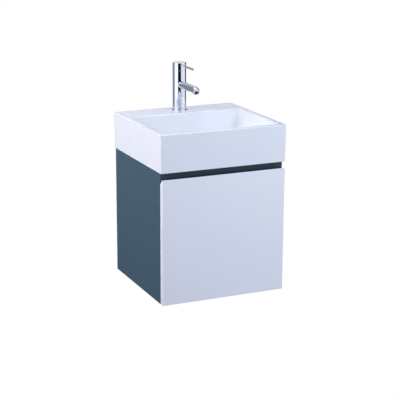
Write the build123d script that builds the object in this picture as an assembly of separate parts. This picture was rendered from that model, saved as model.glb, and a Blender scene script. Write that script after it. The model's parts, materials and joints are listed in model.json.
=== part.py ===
from build123d import *
import os
from math import atan2, cos, degrees, pi, radians, sin, sqrt, tan

# Wall-hung vanity unit: ceramic basin with a mixer tap and a waste, slate cabinet, one tall drawer.
# Millimetres. X to the right, Y towards the wall, Z up. The wall plane is Y = 0 and the front faces -Y.
# The origin is the centre of the wall plates' screw pattern, on the wall.

# Cabinet
carcass_height = 455.0
basin_overhang = 5.0
board = 18.0
front_rail_height = 60.0
back_top_rail_height = 80.0
back_bottom_rail_height = 80.0
back_recess = 18.0

# Front of the drawer
front_below_top = 22.0
front_proud = 4.0
front_thickness = 20.0
front_gap = 2.0
finger_bevel = 16.0
front_edge_radius = 1.0

# Basin
basin_width = 460.0
basin_depth = 430.0
basin_height = 128.0
basin_draft = 0.5
basin_corner = 5.0
basin_edge = 3.0
side_rim = 17.0
front_rim = 19.0
tap_deck = 113.0
bowl_corner = 19.0
bowl_floor_corner = 46.0
bowl_inset = 9.0
bowl_depth = 100.0
bowl_floor_radius = 26.0
bowl_edge = 3.5
dish_radius = 112.0
dish_depth = 6.0
ceramic_wall = 12.0
foot_width = 26.0
foot_corner = 12.0
basin_bolt_spacing = 280.0
basin_bolt_height = 80.0
basin_bolt_radius = 7.0

# Tap
tap_from_wall = 49.0
tap_hole_radius = 17.5
base_ring_radius = 28.5
base_ring_height = 3.0
base_ring_chamfer = 1.2
base_seal_inset = 3.0
base_seal_width = 4.0
seal_groove = 1.5
tap_radius = 24.0
tap_seam_height = 142.0
tap_height = 170.0
seam_gap = 0.4
tap_edge = 0.8
spout_height = 93.0
spout_radius = 13.0
spout_bore = 8.0
spout_reach = 148.0
spout_bend_radius = 30.0
spout_bend_angle = 37.0
spout_wall = 2.5
spigot_length = 8.0
aerator_length = 9.0
aerator_proud = 3.0
aerator_wall = 2.4
aerator_lip_inset = 0.7
aerator_bevel = 0.8
insert_recess = 1.2
spout_way_radius = 4.5
cartridge_radius = 17.5
cartridge_height = 34.0
cartridge_nut_height = 5.5
cartridge_foot_inset = 2.0
cartridge_foot_height = 3.0
cartridge_nut_play = 0.6
cartridge_nut_below_seam = 0.3
spanner_notch_half = 1.6
spanner_notch_depth = 2.3
port_depth = 6.0
turret_radius = 13.0
turret_depth = 18.0
turret_play = 0.05
turret_below_seam = 0.5
turret_slot_ahead = 5.0
turret_slot_below_pivot = 7.0
pivot_behind_axis = 8.0
pivot_below_seam = 3.0
trunnion_radius = 1.75
trunnion_length = 4.0
rocker_width = 8.0
rocker_play = 0.1
rocker_eye_radius = 3.0
rocker_bar_in_cap = 8.0
lift_angle = 20.0
lift_relief = 1.0
cap_cavity_radius = 19.0
cap_roof = 15.0
lever_radius = 4.0
lever_below_top = 8.0
lever_reach = 99.0
lever_collar_radius = 5.2
lever_collar_length = 3.0
lever_collar_bevel = 0.6
lever_root_radius = 3.0
lever_root_length = 10.0
inlet_radius = 5.0
inlet_depth = 12.0
inlet_core_radius = 4.45
inlet_spacing = 18.0
inlet_behind = 5.0
hose_clearance = 1.0
waterway_radius = 3.5
mixed_water_ahead = 8.0
stud_ahead = 8.0
stud_radius = 3.0
stud_length = 60.0
stud_socket = 12.0
clamp_radius = 21.0
clamp_rubber = 3.0
clamp_steel = 3.0
clamp_slot = 15.0
clamp_nut_height = 9.0

# Waste and bottle trap
waste_behind_middle = 26.0
waste_hole_radius = 23.0
waste_flange_radius = 33.0
waste_flange_thickness = 3.0
waste_thread_radius = 20.9
waste_bore_radius = 17.5
waste_length = 78.0
plug_radius = 31.5
plug_thickness = 3.5
plug_crown = 2.0
plug_stem_radius = 4.0
plug_stem_length = 42.0
stem_past_spider = 2.0
plug_lift = 8.0
stem_hold = 4.0
spider_arm = 3.0
waste_washer_thickness = 4.0
waste_nut_radius = 29.0
waste_nut_height = 10.0
trap_tube_radius = 16.0
trap_tube_wall = 1.2
trap_drop = 78.0
trap_body_radius = 31.0
trap_body_height = 62.0
trap_wall = 2.4
trap_neck_radius = 21.0
trap_neck_height = 14.0
trap_cup_height = 56.0
trap_cup_crown = 16.0
trap_shoulder = 5.0
trap_tube_play = 0.3
trap_socket_sunk = 12.0
trap_passage_sunk = 14.0
cup_band_proud = 2.0
cup_band_bevel = 1.5
inlet_flange_thickness = 2.0
inlet_flange_play = 0.4
trap_overlap = 12.0
union_nut_radius = 26.0
union_nut_height = 15.0
union_lip = 3.0
seal_thickness = 3.0
outlet_below_neck = 24.0
outlet_socket = 17.0
outlet_past_wall = 35.0
escutcheon_radius = 35.0
escutcheon_height = 9.0
escutcheon_wall = 1.0

# Drawer box and runners
drawer_rear_gap = 28.0
drawer_above_base = 34.0
drawer_box_height = 220.0
drawer_board = 15.0
drawer_bottom = 8.0
bottom_above_edge = 12.0
groove_depth = 6.0
well_board = 12.0
well_width = 150.0
trap_clearance = 18.0
runner_above_base = 150.0
runner_height = 45.7
runner_depth = 12.7
runner_setback = 2.0
runner_rear_gap = 24.0
runner_steel = 1.0
ball_radius = 2.0
race_clearance = 0.1
outer_ball_in = 4.6
row_offset = 3.4
middle_web_in = 2.4
cage_sheet = 0.6
cage_gap = 0.4
cage_strip = 0.8
cage_end_gap = 7.5
balls_in_row = 4
ball_pocket = 0.15

# Fasteners
system_pitch = 32.0
bolt_from_front = 50.0
bolt_from_wall = 90.0
dowel_radius = 4.0
dowel_length = 30.0
dowel_in_side = 12.0
dowel_play = 1.0
cam_radius = 7.5
cam_depth = 12.5
cam_from_end = 34.0
cam_bolt_radius = 3.0
cam_bolt_thread_radius = 2.5
cam_bolt_thread = 11.0
cam_head_radius = 3.5
cam_bore_radius = 4.0
cam_neck_radius = 1.8
cam_neck_length = 2.0
cam_head_height = 2.5
cam_play = 0.4
screwdriver_slot = 1.6
screw_head_radius = 4.0
screw_shank_radius = 2.2
screw_head_depth = 1.8
runner_screw_length = 12.0
cabinet_screw_first = 37.0
drawer_screw_first = 30.0
front_screw_length = 28.0
front_screw_from_middle = 110.0
front_screw_above_floor = 30.0
front_screw_below_top = 40.0
bumper_radius = 5.0

# Hangers
plate_past_hook = 4.0
plate_width = 34.0
plate_steel = 2.5
plate_hole_spacing = 26.0
plate_hole_radius = 4.0
plate_below = 24.0
plate_above = 20.0
plate_offset = 6.5
lip_height = 14.0
hook_thickness = 3.0
hook_from_side = 6.0
hook_wall = 2.5
hook_gap = 0.5
hook_drop = 9.0
hook_bar = 6.0
hook_reach = 40.0
hook_corner = 4.0
hook_throat = 1.0
housing_width = 13.0
housing_height = 42.0
housing_below_rail = 3.0
housing_depth = 46.0
housing_from_wall = 14.0
housing_corner = 6.0
housing_wall = 5.0
hook_play = 0.3
adjust_screw_radius = 4.5
adjust_screw_head = 2.5
adjust_screws_gap = 8.0
screw_cross_half = 0.6
screw_cross_floor = 0.8
hanger_screw_bite = 12.0

# Sizes, levels and places worked out from the sizes above
carcass_width = basin_width - 2 * basin_overhang
carcass_depth = basin_depth + front_proud - front_thickness - front_gap
front_height = carcass_height - front_below_top
housing_low = plate_above + 2.0
housing_high = housing_low + housing_height
carcass_base = housing_high + housing_below_rail + back_top_rail_height - carcass_height
carcass_top = carcass_base + carcass_height
carcass_inner = carcass_width / 2 - board
basin_top = carcass_top + basin_height
front_back = -(carcass_depth + front_gap)
front_face = front_back - front_thickness
rail_back = -back_recess
rail_front = -(back_recess + board)
drawer_outer = carcass_inner - runner_depth
drawer_inner = drawer_outer - drawer_board
drawer_base = carcass_base + drawer_above_base
drawer_top = drawer_base + drawer_box_height
drawer_floor = drawer_base + bottom_above_edge + drawer_bottom
drawer_rear = rail_front - drawer_rear_gap
runner_level = carcass_base + runner_above_base
runner_front = -(carcass_depth - runner_setback)
runner_rear = rail_front - runner_rear_gap
runner_length = runner_rear - runner_front
drawer_travel = runner_length
cage_inset = drawer_travel / 4 + cage_end_gap
cage_length = runner_length - 2 * cage_inset
bowl_back = -tap_deck
bowl_front = -(basin_depth - front_rim)
bowl_half = basin_width / 2 - side_rim
bowl_middle = (bowl_back + bowl_front) / 2
waste_from_wall = -(bowl_middle + waste_behind_middle)
spider_height = plug_lift + stem_hold
well_front = -(waste_from_wall + trap_body_radius + trap_clearance)
bowl_floor = basin_top - bowl_depth
waste_seat = bowl_floor - dish_depth
hall = 1000.0


def block(x, y, z):
    """Box between a pair of limits along each axis."""
    limits = (x, y, z)
    size = [max(pair) - min(pair) for pair in limits]
    middle = [sum(pair) / 2 for pair in limits]
    return Pos(*middle) * Box(*size)


def rod(radius, start, end):
    """Round bar from one point to another."""
    run = Vector(*end) - Vector(*start)
    place = Plane(origin=start, z_dir=run)
    return place * Cylinder(radius, run.length, align=(Align.CENTER, Align.CENTER, Align.MIN))


def turned(outline):
    """Solid of revolution about Z from (radius, height) points."""
    return revolve(Plane.XZ * make_face(Polyline(*outline, close=True)), Axis.Z)


def crown(radius, level, rise):
    """Arc of a sphere about Z, from its rim to its highest or lowest point on the axis."""
    sphere = (radius ** 2 + rise ** 2) / (2 * abs(rise))
    sag = sphere - sqrt(sphere ** 2 - radius ** 2 / 4)
    middle = level + rise - sag * (1 if rise > 0 else -1)
    return ThreePointArc((radius, level), (radius / 2, middle), (0, level + rise))


def turned_edges(edges):
    """Solid of revolution about Z from the edges of a closed outline."""
    return revolve(Plane.XZ * make_face(edges), Axis.Z)


def tube(outer, inner, low, high):
    """Plain ring about Z."""
    return turned([(inner, low), (outer, low), (outer, high), (inner, high)])


def hexagon_nut(across, bore, low, high):
    """Six-sided nut about Z with chamfered corners."""
    corner = across / cos(pi / 6)
    blank = extrude(RegularPolygon(corner, 6), amount=high - low)
    slope = (corner - across) * 0.6
    cone = turned([(0, 0), (across, 0), (corner, slope), (corner, high - low - slope),
                   (across, high - low), (0, high - low)])
    return Pos(0, 0, low) * (blank & cone) - rod(bore, (0, 0, low - 1), (0, 0, high + 1))


def along_y(shape, x, y, z):
    """Turn a shape built about Z so that its axis runs towards the wall."""
    return Pos(x, y, z) * Rot(-90, 0, 0) * shape


def profile_x(outline, low, high):
    """Prism along X from (y, z) points."""
    face = Plane.YZ * make_face(Polyline(*outline, close=True))
    return Pos(low, 0, 0) * extrude(face, amount=high - low)


def both_sides(shape):
    """A shape and its mirror image about the middle of the unit."""
    return [shape, mirror(shape, about=Plane.YZ)]


def without(shape, cutters):
    """Cut a list of tools out of a shape, one after another."""
    for cutter in cutters:
        shape = shape - cutter
    return shape


# Carcass joints. Every horizontal board and rail ends on a side panel with cam bolts and dowels.

bottom_bolt_y = (bolt_from_front - carcass_depth, -bolt_from_wall)
bottom_dowel_y = (bottom_bolt_y[0] + system_pitch, bottom_bolt_y[1] - system_pitch)
bottom_middle = carcass_base + board / 2
front_rail_middle = -(carcass_depth - board / 2)
back_rail_middle = (rail_back + rail_front) / 2


def rail_levels(low, height):
    """Heights of the cam bolt and of the dowel in the end of an upright rail."""
    middle = low + height / 2
    return middle + system_pitch / 2, middle - system_pitch / 2


front_rail_base = carcass_top - front_rail_height
back_top_rail_base = carcass_top - back_top_rail_height
back_bottom_rail_base = carcass_base + board
upright_rails = [
    (front_rail_middle, *rail_levels(front_rail_base, front_rail_height), 1),
    (back_rail_middle, *rail_levels(back_top_rail_base, back_top_rail_height), -1),
    (back_rail_middle, *rail_levels(back_bottom_rail_base, back_bottom_rail_height), -1),
]


def bolt_places():
    """Centre line of each cam bolt on the right: (y, z) and the way out of its cam lock."""
    places = [(y, bottom_middle, (0, 0, -1)) for y in bottom_bolt_y]
    places += [(y, bolt_z, (0, way, 0)) for y, bolt_z, dowel_z, way in upright_rails]
    return places


def dowel_places():
    """Centre line of each dowel on the right."""
    places = [(y, bottom_middle) for y in bottom_dowel_y]
    places += [(y, dowel_z) for y, bolt_z, dowel_z, way in upright_rails]
    return places


def cam_bolt(y, z):
    """Threaded foot in the side panel, collar, shank and ball head in the cam lock."""
    place = Pos(carcass_inner, y, z) * Rot(0, -90, 0)
    shank = cam_from_end - cam_head_radius
    neck = shank - cam_neck_length
    slope = cam_bolt_radius - cam_neck_radius
    outline = [(0, -cam_bolt_thread), (cam_bolt_thread_radius, -cam_bolt_thread),
               (cam_bolt_thread_radius, 0), (cam_bolt_radius, 0),
               (cam_bolt_radius, neck - slope), (cam_neck_radius, neck),
               (cam_neck_radius, shank), (cam_head_radius, shank + slope),
               (cam_head_radius, shank + cam_head_height), (0, shank + cam_head_height)]
    return place * turned(outline)


def cam_lock(y, z, way):
    """Round cam housing with the mouth that takes the bolt head and a screwdriver slot."""
    centre = carcass_inner - cam_from_end
    out = Vector(*way)
    face = Vector(centre, y, z) + out * (board / 2)
    place = Plane(origin=face, z_dir=out * -1, x_dir=(1, 0, 0))
    lock = place * Cylinder(cam_radius, cam_depth, align=(Align.CENTER, Align.CENTER, Align.MIN))
    behind_head = centre + cam_head_radius - cam_head_height - 2 * cam_play
    mouth = rod(cam_head_radius + cam_play, (behind_head, y, z), (centre + cam_radius, y, z))
    slot = place * Box(cam_radius * 1.3, screwdriver_slot, 2 * screwdriver_slot)
    return lock - mouth - slot


def cam_hole(y, z, way):
    """Hole for the cam lock and the bore from the board's end to it."""
    centre = carcass_inner - cam_from_end
    out = Vector(*way)
    face = Vector(centre, y, z) + out * (board / 2)
    deep = face - out * cam_depth
    seat = rod(cam_radius, tuple(deep), tuple(face))
    return seat + rod(cam_bore_radius, (centre, y, z), (carcass_inner, y, z))


def dowel(y, z, play=0.0):
    """Beech dowel across the joint; play gives the length of its hole instead."""
    far = carcass_inner + dowel_in_side + play
    near = far - dowel_length - 2 * play
    if play:
        return rod(dowel_radius, (near, y, z), (far, y, z))
    place = Pos(near, y, z) * Rot(0, 90, 0)
    bevel = dowel_radius * 0.25
    return place * turned([(0, 0), (dowel_radius - bevel, 0), (dowel_radius, bevel),
                           (dowel_radius, dowel_length - bevel),
                           (dowel_radius - bevel, dowel_length), (0, dowel_length)])


def joint_holes():
    """Every cam and dowel hole on both sides, as cutters for the boards."""
    holes = [cam_hole(*place) for place in bolt_places()]
    holes += [dowel(y, z, dowel_play) for y, z in dowel_places()]
    holes += [rod(cam_bolt_thread_radius, (carcass_inner, y, z), (carcass_inner + cam_bolt_thread, y, z))
              for y, z, way in bolt_places()]
    return [side for hole in holes for side in both_sides(hole)]


def touching(cutters, solid):
    """Only the cutters whose boxes reach a solid."""
    box = solid.bounding_box()

    def reaches(cutter):
        other = cutter.bounding_box()
        return all(getattr(other.min, a) < getattr(box.max, a) and getattr(other.max, a) > getattr(box.min, a)
                   for a in "XYZ")
    return [cutter for cutter in cutters if reaches(cutter)]


# Screws with a flat countersunk head

def flat_screw(length, head_depth=screw_head_depth):
    """Screw about Z, head face at 0, point at the given length below."""
    point = screw_shank_radius * 1.2
    return turned([(0, 0), (screw_head_radius, 0), (screw_shank_radius, -head_depth),
                   (screw_shank_radius, -length + point), (0, -length)])


def screw_row(first):
    """Places along a runner of the screws that hold it, every fourth system hole from the first."""
    pitch = 4 * system_pitch
    count = int((runner_length - first) // pitch) + 1
    return [runner_front + first + index * pitch for index in range(count)]


def cabinet_runner_screws():
    """Screws from the cabinet member into the right side panel."""
    face = carcass_inner - runner_steel
    return [Pos(face, y, runner_level) * Rot(0, -90, 0) * flat_screw(runner_screw_length)
            for y in screw_row(cabinet_screw_first)]


def drawer_runner_screws():
    """Screws from the drawer member into the right drawer side."""
    face = drawer_outer + runner_steel
    return [Pos(face, y, runner_level) * Rot(0, 90, 0) * flat_screw(runner_screw_length)
            for y in screw_row(drawer_screw_first)]


def drawer_front_screws():
    """Screws from inside the drawer box into the front."""
    face = front_back + drawer_board
    levels = (drawer_floor + front_screw_above_floor, drawer_top - front_screw_below_top)
    return [Pos(x, face, z) * Rot(-90, 0, 0) * flat_screw(front_screw_length)
            for x in (-front_screw_from_middle, front_screw_from_middle) for z in levels]


# Hangers: a hook plate in each upper rear corner rests on the lip of a plate on the wall

lip_top = plate_above + lip_height
hook_x = carcass_inner - hook_from_side
hanger_spacing = 2 * (hook_x + plate_past_hook) - plate_width


def wall_plate():
    """Steel plate on the wall with a raised lip along its top, right-hand one."""
    half = plate_width / 2
    middle = hanger_spacing / 2
    bend = plate_offset + plate_steel
    outline = [(0, -plate_below), (0, plate_above), (-plate_offset, plate_above), (-plate_offset, lip_top),
               (-bend, lip_top), (-bend, plate_above - plate_steel),
               (-plate_steel, plate_above - plate_steel), (-plate_steel, -plate_below)]
    plate = profile_x(outline, middle - half, middle + half)
    corners = plate.edges().filter_by(Axis.Y).group_by(Axis.Z)[0]
    plate = fillet(corners, half * 0.4)
    for z in (-plate_hole_spacing / 2, plate_hole_spacing / 2):
        plate = plate - rod(plate_hole_radius, (middle, -bend, z), (middle, 1, z))
    return plate


def hook():
    """Hook plate: nose over the wall plate's lip, bar into the housing, slot for its screw."""
    nose_back = -(plate_offset - hook_gap - hook_wall)
    nose_front = -(plate_offset - hook_gap)
    rear = nose_front - hook_reach
    lip_front = -(plate_offset + plate_steel + hook_throat)
    low = lip_top - hook_drop
    high = lip_top + hook_bar
    outline = [(nose_back, low), (nose_back, high - hook_corner / 2), (nose_back - hook_corner / 2, high),
               (rear + hook_corner, high), (rear, high - hook_corner), (rear, low),
               (lip_front - hook_corner / 2, low), (lip_front, lip_top - hook_corner / 2), (lip_front, lip_top),
               (nose_front, lip_top), (nose_front, low)]
    half = hook_thickness / 2
    return profile_x(outline, hook_x - half, hook_x + half)


def hanger_housing():
    """Moulded housing on the side panel with the slot that carries the hook."""
    back = -housing_from_wall
    front = back - housing_depth
    body = block((carcass_inner - housing_width, carcass_inner), (front, back), (housing_low, housing_high))
    body = fillet(body.edges().filter_by(Axis.X), housing_corner)
    half = hook_thickness / 2 + hook_play
    slot = block((hook_x - half, hook_x + half), (front + housing_wall, back + 1),
                 (lip_top - hook_drop - hook_play, lip_top + hook_bar + hook_play))
    return without(body - slot, hanger_screws())


def hanger_screws():
    """Two adjusting screws in the housing's front and two fixing screws into the side panel."""
    front = -(housing_from_wall + housing_depth)
    hook_end = -(plate_offset - hook_gap) - hook_reach
    depth_level = lip_top + hook_bar / 2 - adjust_screw_radius
    height_level = depth_level + 2 * adjust_screw_radius + adjust_screws_gap
    screws = []
    for level, end in ((depth_level, hook_end), (height_level, front + 2 * housing_wall)):
        screw = rod(adjust_screw_radius, (hook_x, front - adjust_screw_head, level), (hook_x, front, level))
        screw = screw + rod(adjust_screw_radius * 0.6, (hook_x, front, level), (hook_x, end, level))
        reach = adjust_screw_radius * 0.7
        for wide, high in ((reach, screw_cross_half), (screw_cross_half, reach)):
            screw = screw - block((hook_x - wide, hook_x + wide),
                                  (front - adjust_screw_head - 1, front - screw_cross_floor),
                                  (level - high, level + high))
        screws.append(screw)
    face = carcass_inner - housing_width
    level = housing_high - housing_corner - screw_head_radius
    for share in (0.25, 0.75):
        place = Pos(face, -(housing_from_wall + share * housing_depth), level) * Rot(0, -90, 0)
        screws.append(place * flat_screw(housing_width + hanger_screw_bite))
    return screws


# Cabinet boards

def cabinet():
    """The six boards of the carcass with every hole that its fittings need."""
    holes = joint_holes()
    side = block((carcass_inner, carcass_width / 2), (-carcass_depth, 0), (carcass_base, carcass_top))
    side = without(side, touching(holes, side))
    side = without(side, touching(cabinet_runner_screws() + hanger_screws(), side))
    span = (-carcass_inner, carcass_inner)
    boards = {
        "bottom_panel": block(span, (-carcass_depth, rail_back), (carcass_base, carcass_base + board)),
        "front_rail": block(span, (-carcass_depth, -(carcass_depth - board)), (front_rail_base, carcass_top)),
        "back_top_rail": block(span, (rail_front, rail_back), (back_top_rail_base, carcass_top)),
        "back_bottom_rail": block(span, (rail_front, rail_back), (back_bottom_rail_base,
                                  back_bottom_rail_base + back_bottom_rail_height)),
    }
    nodes = {name: without(shape, touching(holes, shape)) for name, shape in boards.items()}
    nodes["side_panel_right"] = side
    nodes["side_panel_left"] = mirror(side, about=Plane.YZ)
    return nodes


def bumpers():
    """Soft stops on the carcass edges that set the gap behind the drawer's front."""
    x = carcass_inner + board / 2
    levels = (carcass_base + bumper_radius * 3, carcass_base + front_height - finger_bevel - bumper_radius * 3)
    discs = [rod(bumper_radius, (x, front_back, z), (x, -carcass_depth, z)) for z in levels]
    return [side for disc in discs for side in both_sides(disc)]


def cabinet_fittings():
    """Cams, bolts, dowels, bumpers and hangers, each kind a group of separate solids."""
    locks = [cam_lock(*place) for place in bolt_places()]
    bolts = [cam_bolt(y, z) for y, z, way in bolt_places()]
    dowels = [dowel(y, z) for y, z in dowel_places()]
    groups = {"cam_locks": locks, "cam_bolts": bolts, "dowels": dowels,
              "wall_plates": [wall_plate()], "hanger_hooks": [hook()],
              "hanger_housings": [hanger_housing()], "hanger_screws": hanger_screws(),
              "cabinet_runner_screws": cabinet_runner_screws()}
    nodes = {name: [side for shape in shapes for side in both_sides(shape)] for name, shapes in groups.items()}
    nodes["front_bumpers"] = bumpers()
    return nodes


# Basin

def basin_block():
    """Outer form: slightly narrower at the foot, square against the wall, eased top edge."""
    spare = 30.0
    middle = (spare - basin_depth) / 2
    top = Plane(origin=(0, middle, basin_top), z_dir=(0, 0, -1))
    outline = top * RectangleRounded(basin_width, basin_depth + spare, basin_corner)
    form = extrude(outline, amount=basin_height, taper=basin_draft)
    form = form - block((-hall, hall), (0, hall), (-hall, hall))
    rim = form.edges().group_by(Axis.Z)[-1]
    return fillet([edge for edge in rim if edge.center().Y < -basin_edge], basin_edge)


def bowl_cutter():
    """Bowl: drafted walls that round into a flat floor with a shallow dish round the waste."""
    depth = bowl_back - bowl_front
    rim = Pos(0, bowl_middle, basin_top) * RectangleRounded(2 * bowl_half, depth, bowl_corner)
    floor = Pos(0, bowl_middle, bowl_floor) * RectangleRounded(
        2 * (bowl_half - bowl_inset), depth - 2 * bowl_inset, bowl_floor_corner)
    form = loft([rim.face(), floor.face()])
    form = fillet(form.edges().group_by(Axis.Z)[0], bowl_floor_radius)
    dish = turned_edges([crown(dish_radius, 0, -dish_depth), Line((0, -dish_depth), (0, 0)),
                         Line((0, 0), (dish_radius, 0))])
    return form + Pos(0, -waste_from_wall, bowl_floor) * dish


def basin():
    """Washbasin in one piece of ceramic, hollow under its tap deck and recessed underneath."""
    form = basin_block() - bowl_cutter()
    mouth = [edge for edge in form.edges().group_by(Axis.Z)[-1]
             if abs(edge.center().X) <= bowl_half + 0.1 and bowl_front - 0.1 <= edge.center().Y <= bowl_back + 0.1]
    form = fillet(mouth, bowl_edge)
    foot = carcass_top
    half = basin_width / 2 - foot_width
    hollow = block((-half, half), (-(tap_deck - 2 * ceramic_wall), -ceramic_wall),
                   (foot - 1, basin_top - ceramic_wall - 2))
    hollow = fillet(hollow.edges().filter_by(Axis.Z), foot_corner)
    recess = block((-half, half), (-(basin_depth - foot_width), -(tap_deck + ceramic_wall)),
                   (foot - 1, bowl_floor - ceramic_wall))
    recess = fillet(recess.edges().filter_by(Axis.Z), foot_corner)
    boss = rod(waste_flange_radius + 8, (0, -waste_from_wall, foot + 2),
               (0, -waste_from_wall, bowl_floor - ceramic_wall))
    form = form - hollow - (recess - boss)
    form = form - rod(tap_hole_radius, (0, -tap_from_wall, foot), (0, -tap_from_wall, basin_top + 1))
    seat = waste_seat - waste_flange_thickness
    form = form - rod(waste_flange_radius + 0.5, (0, -waste_from_wall, seat), (0, -waste_from_wall, waste_seat + 1))
    form = form - rod(waste_hole_radius, (0, -waste_from_wall, foot - 1), (0, -waste_from_wall, waste_seat))
    level = foot + basin_bolt_height
    for x in (-basin_bolt_spacing / 2, basin_bolt_spacing / 2):
        form = form - rod(basin_bolt_radius, (x, -ceramic_wall - 1, level), (x, 1, level))
    return form


# Tap, built about its own axis with height 0 on the deck and then set in place

def on_deck(shape):
    """Set a tap piece on the basin's deck."""
    return Pos(0, -tap_from_wall, basin_top) * shape


cartridge_base = tap_seam_height - cartridge_nut_height - cartridge_height
pivot_level = tap_seam_height - pivot_below_seam
turret_base = tap_seam_height - cartridge_nut_height - turret_depth
bend_start = spout_reach - spout_bend_radius * sin(radians(spout_bend_angle))
inlet_points = [(side * inlet_spacing / 2, inlet_behind) for side in (-1, 1)]
mixed_water_point = (0.0, -mixed_water_ahead)
stud_point = (0.0, -stud_ahead)


hose_passage = sqrt((inlet_spacing / 2) ** 2 + inlet_behind ** 2) + inlet_radius + hose_clearance


def base_ring():
    """Chrome ring between body and deck, open for both hoses, with a groove underneath for its seal."""
    ring = turned([(hose_passage, 0), (base_ring_radius, 0),
                   (base_ring_radius, base_ring_height - base_ring_chamfer),
                   (base_ring_radius - base_ring_chamfer, base_ring_height), (hose_passage, base_ring_height)])
    return ring - base_seal()


def base_seal():
    """Rubber ring that seals the base ring to the deck."""
    outer = base_ring_radius - base_seal_inset
    return tube(outer, outer - base_seal_width, 0, seal_groove)


def tap_body():
    """Brass body: cartridge bore, two inlets, the way to the spout and the stud's socket."""
    top = tap_seam_height
    body = turned([(0, base_ring_height), (tap_radius, base_ring_height), (tap_radius, top - tap_edge / 2),
                   (tap_radius - tap_edge / 2, top), (cartridge_radius, top), (cartridge_radius, cartridge_base),
                   (0, cartridge_base)])
    for x, y in inlet_points:
        body = body - rod(inlet_radius, (x, y, base_ring_height), (x, y, base_ring_height + inlet_depth))
        body = body - rod(inlet_core_radius, (x, y, base_ring_height + inlet_depth), (x, y, cartridge_base))
    x, y = mixed_water_point
    body = body - rod(waterway_radius, (x, y, spout_height), (x, y, cartridge_base))
    body = body - rod(spout_bore, (0, -(tap_radius - spigot_length), spout_height), (0, -tap_radius, spout_height))
    body = body - rod(waterway_radius, (x, y, spout_height), (x, -tap_radius, spout_height))
    x, y = stud_point
    return body - rod(stud_radius, (x, y, base_ring_height), (x, y, base_ring_height + stud_socket))


def spout_end():
    """Plane of the spout's mouth, its normal along the water."""
    angle = radians(spout_bend_angle)
    drop = spout_bend_radius * (1 - cos(angle))
    origin = (0, -spout_reach, spout_height - drop)
    return Plane(origin=origin, x_dir=(1, 0, 0), z_dir=(0, -cos(angle), -sin(angle)))


def spout():
    """Straight tube with a saddle on the body, a spigot into it and a short bend at its end."""
    outer = rod(spout_radius, (0, 0, spout_height), (0, -bend_start, spout_height))
    outer = outer - turned([(0, 0), (tap_radius, 0), (tap_radius, tap_height), (0, tap_height)])
    outer = outer + rod(spout_bore, (0, -(tap_radius - spigot_length), spout_height),
                        (0, -bend_start, spout_height))
    section = Plane(origin=(0, -bend_start, spout_height), z_dir=(0, -1, 0)) * Circle(spout_radius)
    bend_axis = Axis((0, -bend_start, spout_height - spout_bend_radius), (1, 0, 0))
    outer = outer + revolve(section, bend_axis, spout_bend_angle)
    bore = rod(spout_way_radius, (0, -(tap_radius - spigot_length) + 1, spout_height),
               (0, -bend_start, spout_height))
    throat = Plane(origin=(0, -bend_start, spout_height), z_dir=(0, -1, 0)) * Circle(spout_way_radius)
    bore = bore + revolve(throat, bend_axis, spout_bend_angle)
    seat = spout_end() * Cylinder(spout_radius - spout_wall, 2 * (aerator_length - aerator_proud))
    return outer - bore - seat


def aerator():
    """Ring screwed into the mouth, and the stream insert inside it."""
    inner = spout_radius - spout_wall
    deep = aerator_length - aerator_proud
    lip = spout_radius - aerator_lip_inset
    ring = turned([(inner - aerator_wall, -deep), (inner, -deep), (inner, 0), (lip, 0),
                   (lip, aerator_proud - aerator_bevel), (lip - aerator_bevel, aerator_proud),
                   (inner - aerator_wall, aerator_proud)])
    face = aerator_proud - insert_recess
    insert = turned([(0, -deep), (inner - aerator_wall, -deep), (inner - aerator_wall, face), (0, face)])
    return spout_end() * ring, spout_end() * insert


def turret_bore():
    """Room for the turret in the cartridge."""
    return rod(turret_radius + turret_play, (0, 0, turret_base), (0, 0, tap_height))


def cartridge():
    """Ceramic-disc cartridge housing with its two locating lugs' shoulder and the turret's bore."""
    top = tap_seam_height - cartridge_nut_height
    foot = cartridge_radius - cartridge_foot_inset
    ledge = cartridge_base + cartridge_foot_height
    shell = turned([(0, cartridge_base), (foot, cartridge_base), (foot, ledge), (cartridge_radius, ledge),
                    (cartridge_radius, top), (0, top)])
    shell = shell - turret_bore()
    for x, y in [*inlet_points, mixed_water_point]:
        shell = shell - rod(waterway_radius, (x, y, cartridge_base - 1), (x, y, cartridge_base + port_depth))
    return shell


def cartridge_nut():
    """Ring nut that holds the cartridge down."""
    low = tap_seam_height - cartridge_nut_height
    ring = tube(cartridge_radius, turret_radius + cartridge_nut_play, low,
                tap_seam_height - cartridge_nut_below_seam)
    notch = block((-spanner_notch_half, spanner_notch_half), (turret_radius, cartridge_radius),
                  (tap_seam_height - spanner_notch_depth, tap_seam_height))
    for turn in range(4):
        ring = ring - Rot(0, 0, 45 + 90 * turn) * notch
    return ring


def turret():
    """Turning drum of the cartridge, slotted for the rocker and bored for its trunnions."""
    drum = rod(turret_radius, (0, 0, turret_base + turret_play), (0, 0, tap_seam_height - turret_below_seam))
    half = rocker_width / 2 + rocker_play
    slot = block((-half, half), (-(rocker_width / 2 + turret_slot_ahead), turret_radius + 1),
                 (pivot_level - turret_slot_below_pivot, tap_height))
    hole = rod(trunnion_radius + turret_play, (-hall, pivot_behind_axis, pivot_level),
               (hall, pivot_behind_axis, pivot_level))
    return drum - slot - hole


def rocker():
    """Lever of the cartridge: eye and trunnions behind the axis, square bar up into the cap."""
    half = rocker_width / 2
    top = tap_height - cap_roof + rocker_bar_in_cap
    low, high = pivot_level - rocker_eye_radius, pivot_level + rocker_eye_radius
    arm = block((-half, half), (-half, pivot_behind_axis), (low, high))
    bar = block((-half, half), (-half, half), (low, top))
    eye = rod(rocker_eye_radius, (-half, pivot_behind_axis, pivot_level), (half, pivot_behind_axis, pivot_level))
    reach = half + trunnion_length
    pins = rod(trunnion_radius, (-reach, pivot_behind_axis, pivot_level), (reach, pivot_behind_axis, pivot_level))
    return arm + bar + eye + pins


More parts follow.
